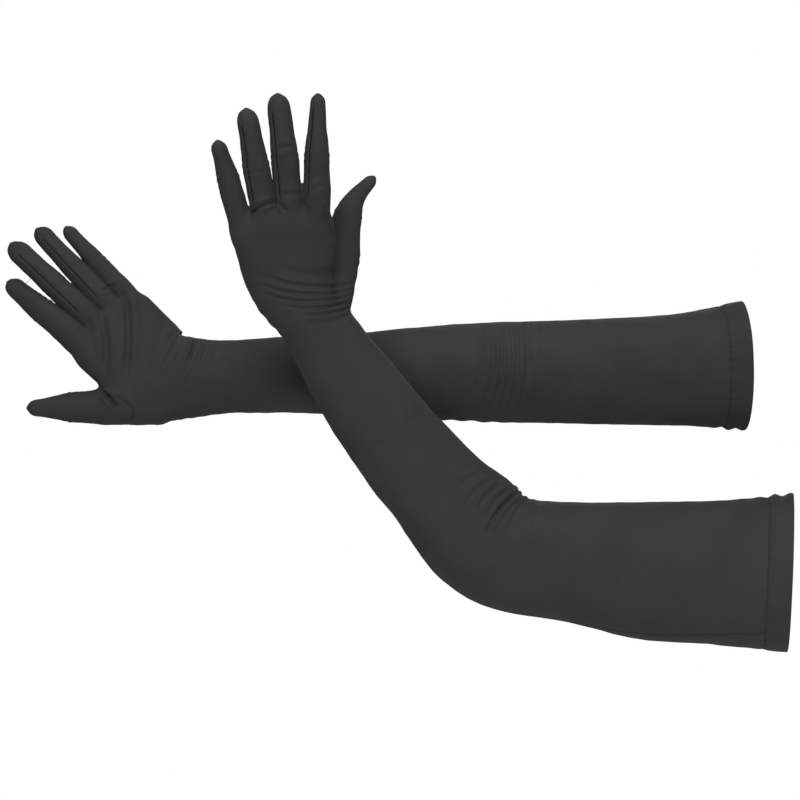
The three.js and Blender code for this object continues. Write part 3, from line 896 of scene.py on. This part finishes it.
def handRelief(side, tubes, points, normal, line):
    # The cloth's own relief, the digits' relief, and the grooves of the side seam and the thumb's seam
    s, angle = armPlace(side, tubes, points)
    relief = clothRelief(side, points, normal, s, angle)
    relief += digitRelief(side, tubes, points)
    relief += seamGroove(side, s, angle) * (1 - ease(s, *arm["seamFades"]))
    away = nearest(points, line)
    relief -= 0.55 * bump(away, 1.1) - 0.25 * bump(away - 2.6, 1.2)
    return relief


def withThreads(side, tubes, name, p, f, uv, n):
    # The finger's seam threads joined to its points, faces, weave map and normals
    for grid in fingerThreads(side, tubes, name):
        quads, _ = gridFaces(*grid.shape[:2], False, True)
        f = np.concatenate([f, quads + len(p)])
        uv = np.concatenate([uv, np.zeros((quads.size, 2))])
        n = np.concatenate([n, unit(grid - grid.mean(1, keepdims=True) + 1e-6).reshape(-1, 3)])
        p = np.concatenate([p, grid.reshape(-1, 3)])
    return p, f, uv, n


def makeHand(side):
    tubes = {name: digitTube(side, name) for name in digits[side]}
    tubes["palm"] = palmTube(side)
    points, faces, normal = handSkin(side, tubes)
    line = seamOnBack(side, tubes, thumbSeam[side])
    points = points + normal * handRelief(side, tubes, points, normal, line)[:, None]
    smooth = pointNormals(points, faces)
    smooth *= np.sign(dot(smooth, normal).mean())
    a, b, c, d = (points[faces[:, k]] for k in range(4))
    if dot(np.cross(c - a, d - b), normal[faces[:, 0]]).mean() < 0:
        faces = faces[:, ::-1]
    owner = digitShare(tubes, points)[faces].max(1)
    # The hand reaches a little way in under each digit, so that no slit opens when the digit turns
    onHand = np.zeros(len(points), bool)
    onHand[faces[owner == -1]] = True
    ring = ringsFrom(onHand, faces, hand["underlap"])
    pieces = {}
    for k, name in enumerate([None, *digits["left"]]):
        keep = owner == k - 1 if name else ring[faces].max(1) <= hand["underlap"]
        p, f, used = trimmed(points, faces, keep)
        if name is None:
            p = p - smooth[used] * (hand["tuck"] * ring[used])[:, None]
        uv, n = weaveOf(side, tubes, p, name)[f.ravel()], smooth[used]
        if name:
            p, f, uv, n = withThreads(side, tubes, name, p, f, uv, n)
        piece = newMesh(f"{side}_{name or 'hand'}", p, f, uv)
        piece.data.normals_split_custom_set_from_vertices(n)
        slots = np.zeros(len(f), np.int32)
        slots[keep.sum():] = 1  # the threads' faces come after the cloth's
        piece.data.polygons.foreach_set("material_index", slots)
        pieces[name or "hand"] = piece
    print(side, "hand skin:", len(points), "points")
    return pieces, tubes, line


def liftedLine(side, tubes, points):
    # The line sits in the groove that its seam sinks into the cloth
    slope = unit(fieldSlope(tubes, points))
    s, angle = armPlace(side, tubes, points)
    relief = clothRelief(side, points, slope, s, angle)
    return points + slope * (relief[:, None] - 0.25), slope


def makeThumbSeam(side, tubes, line):
    path, up = liftedLine(side, tubes, line)
    return stitchChain(f"{side}_thumb_seam", path, up)


def makeHandSideSeam(side, tubes):
    s = np.arange(arm["sleeveEnd"], arm["seamEnd"], 0.6)
    start = armSurface(gloves[side], s, seamLine(side, s)[:, None])[:, 0]
    path, up = liftedLine(side, tubes, ontoSkin(tubes, start, 4))
    return stitchChain(f"{side}_hand_side_seam", path, up)


# Materials
class Wire:
    # A node's output that takes part in sums: each operator adds one Math node
    def __init__(self, tree, socket):
        self.tree = tree
        self.socket = socket

    def math(self, operation, first, second=None):
        values = [v for v in (first, second) if v is not None]
        return node(self.tree, "ShaderNodeMath", {"operation": operation}, dict(enumerate(values)))

    def __add__(self, other):
        return self.math("ADD", self, other)

    def __radd__(self, other):
        return self.math("ADD", other, self)

    def __sub__(self, other):
        return self.math("SUBTRACT", self, other)

    def __rsub__(self, other):
        return self.math("SUBTRACT", other, self)

    def __mul__(self, other):
        return self.math("MULTIPLY", self, other)

    def __rmul__(self, other):
        return self.math("MULTIPLY", other, self)

    def apply(self, operation):
        return self.math(operation, self)


def node(tree, kind, settings=None, values=None, output=0):
    # Adds a node, makes its settings, then fills its sockets with values or links
    made = tree.nodes.new(kind)
    for name, value in (settings or {}).items():
        setattr(made, name, value)
    for name, value in (values or {}).items():
        if isinstance(value, Wire):
            tree.links.new(value.socket, made.inputs[name])
        else:
            made.inputs[name].default_value = value
    return Wire(tree, made.outputs[output])


def newMaterial(name):
    material = bpy.data.materials.new(name)
    material.use_nodes = True
    return material, material.node_tree, material.node_tree.nodes["Principled BSDF"]


def setSockets(shader, values):
    for name, value in values.items():
        shader.inputs[name].default_value = value


def link(tree, wire, shader, name):
    tree.links.new(wire.socket, shader.inputs[name])


# The cloth's colours are linear. wale and course are how wide a knitted stitch is and how tall, in the
# weave map's units, and grain is a noise scale for one metre.
knit = {
    "dark": (0.031, 0.031, 0.032, 1),
    "light": (0.045, 0.045, 0.046, 1),
    "roughness": 0.82,
    "specular": 0.22,
    "sheen": 0.04,
    "sheenRoughness": 0.45,
    "mottle": 26,
    "grain": 900,
    "stitchDepth": 0.00022,
}
# The thread's dark and light tones are painted shade and painted highlight, laid along the twist.
thread = {"dark": (0.019, 0.019, 0.020, 1), "light": (0.042, 0.042, 0.043, 1), "roughness": 0.6}


def knitCloth(name, tone):
    # Columns of small slanted loops, over a soft mottle and a fine grain
    material, tree, shader = newMaterial(name)
    weave = node(tree, "ShaderNodeUVMap", {"uv_map": "weave"})
    wale, course = (node(tree, "ShaderNodeSeparateXYZ", values={0: weave}, output=k) for k in (0, 1))
    column = (wale.apply("FRACT") - 0.5).apply("ABSOLUTE")
    leg = 1 - column * 2
    loops = ((course + column * 0.9) * (2 * math.pi)).apply("SINE") * 0.5 + 0.5
    height = (leg * math.pi).apply("SINE") * 0.65 + loops * 0.35
    place = node(tree, "ShaderNodeTexCoord", output=3)
    mottle = node(tree, "ShaderNodeTexNoise", values={"Vector": place, "Scale": knit["mottle"], "Detail": 5})
    grain = node(tree, "ShaderNodeTexNoise", values={"Vector": place, "Scale": knit["grain"], "Detail": 3})
    # The colour mixes the cloth's own mottle and grain with painted shade from the stitches: lighter on the
    # raised loops, darker in their hollows.
    toneAndStitchShade = mottle * 0.55 + grain * 0.3 + height * 0.15
    dark = [v * tone for v in knit["dark"][:3]] + [1]
    light = [v * tone for v in knit["light"][:3]] + [1]
    spread = node(tree, "ShaderNodeMapRange", values={0: toneAndStitchShade, 1: 0.3, 2: 0.7})
    colour = node(tree, "ShaderNodeMix", {"data_type": "RGBA"}, {0: spread, 6: dark, 7: light}, output=2)
    link(tree, colour, shader, "Base Color")
    link(tree, grain * 0.12 + (knit["roughness"] - 0.06), shader, "Roughness")
    relief = {"Height": height * 0.8 + grain * 0.4, "Strength": 0.55, "Distance": knit["stitchDepth"]}
    link(tree, node(tree, "ShaderNodeBump", values=relief), shader, "Normal")
    setSockets(shader, {
        "Specular IOR Level": knit["specular"],
        "Sheen Weight": knit["sheen"],
        "Sheen Roughness": knit["sheenRoughness"],
    })
    return material


def sewingThread(name):
    # Twisted thread: slanted light and dark bands, and a fine grain
    material, tree, shader = newMaterial(name)
    place = node(tree, "ShaderNodeTexCoord", output=3)
    strands = {"Vector": place, "Scale": 900, "Distortion": 2.0}
    twist = node(tree, "ShaderNodeTexWave", values=strands, output=1)
    # The colour follows the twist's height: painted shade in the grooves between the strands and painted
    # highlight on their crests.
    colour = {0: twist, 6: thread["dark"], 7: thread["light"]}
    link(tree, node(tree, "ShaderNodeMix", {"data_type": "RGBA"}, colour, output=2), shader, "Base Color")
    relief = {"Height": twist, "Strength": 0.4, "Distance": 0.0001}
    link(tree, node(tree, "ShaderNodeBump", values=relief), shader, "Normal")
    setSockets(shader, {"Roughness": thread["roughness"], "Specular IOR Level": 0.3})
    return material


cloth = knitCloth("glove knit", 1.0)
hemCloth = knitCloth("hem knit", 0.97)
seamThread = sewingThread("seam thread")


def finish(piece, material, nodes):
    piece.data.materials.append(material)
    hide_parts(*nodes)


def bendBetween(piece, first, second, centre, along, reach):
    centre, along = np.array(centre, float), np.array(along, float)
    start, end = centre - along * reach, centre + along * reach
    tuple(start / 1000)
    tuple(end / 1000)
    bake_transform(piece)


def dressSleeve(side):
    glove = gloves[side]
    upper, fore = heading(*glove["upper"]), heading(*glove["forearm"])
    elbow = np.array(glove["hem"], float) + upper * arm["elbow"]
    bodies = (f"{side}_upper_arm", f"{side}_forearm")
    made = makeSleeve(side)
    parts = ("upper_sleeve", "elbow_section", "forearm_sleeve")
    finish(made, cloth, [f"{side}_{n}" for n in parts])
    seam = makeSideSeam(side)
    finish(seam, seamThread, [f"{side}_upper_side_seam", f"{side}_forearm_side_seam"])
    for piece in (made, seam):
        bendBetween(piece, *bodies, elbow, unit(upper + fore), arm["elbowReach"])
    edge, stitches = makeHem(side), makeHemStitches(side)
    finish(edge, hemCloth, [f"{side}_hem_band"])
    finish(stitches, seamThread, [f"{side}_hem_stitching"])
    for piece in (edge, stitches):
        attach(piece, bodies[0])
    print(side, "sleeve and hem done")


def dressHand(side):
    pieces, tubes, line = makeHand(side)
    fore, palm = f"{side}_forearm", f"{side}_palm"
    finish(pieces["hand"], cloth, [f"{side}_hand", f"{side}_wrist_section"])
    seam = makeHandSideSeam(side, tubes)
    finish(seam, seamThread, [])
    wrist = np.array(jointAt[f"{side}_wrist"]["pos_m"]) * 1000
    for piece in (pieces["hand"], seam):
        bendBetween(piece, fore, palm, wrist, heading(*gloves[side]["forearm"]), arm["wristReach"])
    thumb = makeThumbSeam(side, tubes, line)
    finish(thumb, seamThread, [])
    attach(thumb, palm)
    for name in digits[side]:
        owned = [n for n in frame["nodes"] if n.startswith(f"{side}_{name}")]
        finish(pieces[name], cloth, owned)
        pieces[name].data.materials.append(seamThread)
        along = digitAxes(side, name, digits[side][name]["curl"])[0]
        bodies = (palm, f"{side}_{name}_finger")
        bendBetween(pieces[name], *bodies, hingeOf(side, name), along, hand["bendReach"])
    print(side, "hand and digits done")


for side in gloves:
    dressSleeve(side)
    dressHand(side)

# Stage: a pale floor well below the gloves, a white room and soft lights from the front
stage = {
    "floorHeight": -0.52,
    "floorRadius": 0.72,
    "floorCentre": (-0.28, -0.12),
    "background": 1.0,
    "roomLight": 0.16,
    "camera": (-0.2796, -1.54, -0.0302),
    "aim": (-0.28, -0.05, 0.0),
    "lens": 85,
}
lights = {
    "key": {"at": (-0.45, -1.35, 1.0), "size": 0.7, "power": 15},
    "fill": {"at": (0.05, -1.1, -0.65), "size": 0.4, "power": 5.5},
    "top": {"at": (-0.3, -0.1, 1.3), "size": 0.8, "power": 5},
    "back": {"at": (-0.3, 1.9, 0.6), "size": 1.4, "power": 11},
}


def makeFloor():
    angle = np.linspace(0, 2 * math.pi, 96, endpoint=False)
    radius = np.array([1e-5, 0.3, 0.6, 1.0]) * stage["floorRadius"] * 1000
    ring = np.stack([np.cos(angle), np.sin(angle), 0 * angle], 1)
    grid = radius[:, None, None] * ring + np.array([*stage["floorCentre"], stage["floorHeight"]]) * 1000
    floor = gridPiece("floor", grid, False, True)
    material, tree, shader = newMaterial("pale floor")
    place = node(tree, "ShaderNodeTexCoord", output=3)
    speck = node(tree, "ShaderNodeTexNoise", values={"Vector": place, "Scale": 40, "Detail": 3})
    tones = {0: speck, 6: (0.84, 0.84, 0.83, 1), 7: (0.88, 0.88, 0.87, 1)}
    pale = node(tree, "ShaderNodeMix", {"data_type": "RGBA"}, tones, output=2)
    link(tree, pale, shader, "Base Color")
    setSockets(shader, {"Roughness": 0.8})
    floor.data.materials.append(material)


def makeWorld():
    world = bpy.data.worlds.new("studio")
    bpy.context.scene.world = world
    world.use_nodes = True
    tree = world.node_tree
    seen = node(tree, "ShaderNodeLightPath")
    bright = seen * (stage["background"] - stage["roomLight"]) + stage["roomLight"]
    back = tree.nodes["Background"]
    back.inputs["Color"].default_value = (1, 1, 1, 1)
    link(tree, bright, back, "Strength")


def makeLights():
    for name, light in lights.items():
        lamp = bpy.data.lights.new(name, "AREA")
        lamp.shape = "DISK"
        lamp.size = light["size"]
        lamp.energy = light["power"]
        holder = bpy.data.objects.new(name, lamp)
        bpy.context.scene.collection.objects.link(holder)
        holder.location = light["at"]
        holder.visible_camera = False
        away = np.array(light["at"]) - np.array(stage["aim"])
        flat = math.hypot(away[0], away[1])
        holder.rotation_euler = (math.atan2(flat, away[2]), 0, math.atan2(away[0], -away[1]))


def makeCamera():
    lens = bpy.data.cameras.new("camera")
    lens.lens = stage["lens"]
    lens.sensor_width = 36
    camera = bpy.data.objects.new("camera", lens)
    camera.location = stage["camera"]
    camera.rotation_euler = (math.radians(90), 0, 0)
    bpy.context.scene.collection.objects.link(camera)
    bpy.context.scene.camera = camera


makeFloor()
makeWorld()
makeLights()
makeCamera()
bpy.context.scene.view_settings.view_transform = "Standard"
print("stage set")
